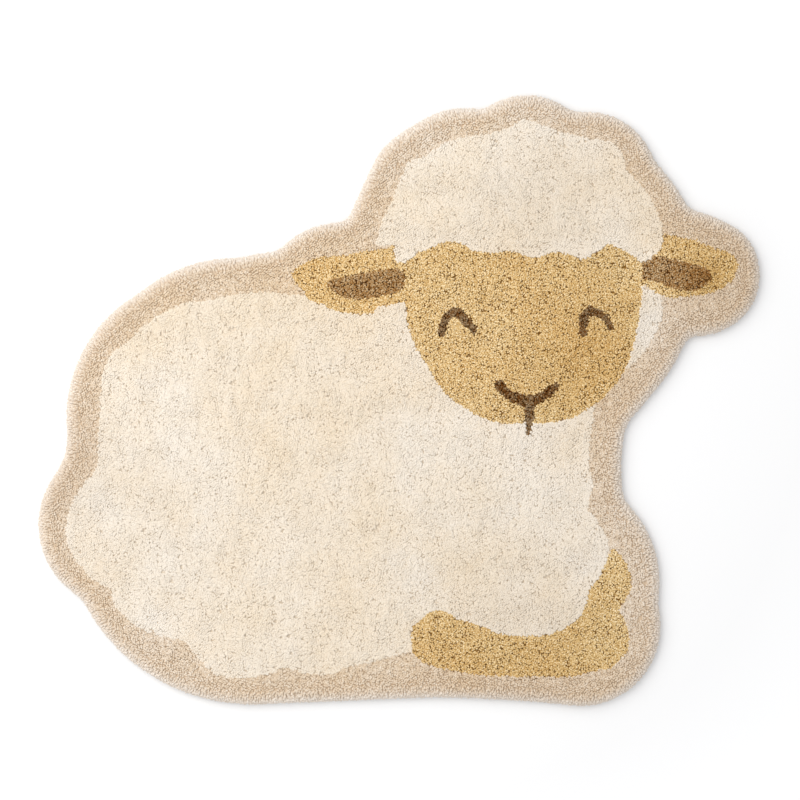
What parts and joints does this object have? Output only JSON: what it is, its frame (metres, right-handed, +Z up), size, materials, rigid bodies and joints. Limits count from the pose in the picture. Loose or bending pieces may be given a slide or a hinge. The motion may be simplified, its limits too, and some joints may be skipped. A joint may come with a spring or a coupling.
{
  "type": "lamb-shaped tufted nursery rug",
  "caption": "Flat cut-pile cotton rug in the outline of a lying lamb, with a wool-coloured body, tan face and legs and a taupe border.",
  "frame": {"origin": "middle of the outline's bounding rectangle, on the surface that the rug lies on", "axes": "+Z up out of the pile, +X along the rug's length towards the lamb's chest, +Y towards the top of its head"},
  "size_m": [1.1036, 0.9342, 0.016],
  "materials": {
    "cream_wool": "matt cut cotton pile, cream",
    "taupe_border": "matt cut cotton pile, warm taupe",
    "tan_face": "matt cut cotton pile, golden tan",
    "brown_ear": "matt cut cotton pile, mid brown",
    "dark_stroke": "matt cut cotton pile, dark brown",
    "backing_cloth": "plain-woven unbleached cotton canvas"
  },
  "bodies": {
    "root": {"rug": "cream_wool"}
  },
  "joints": []
}
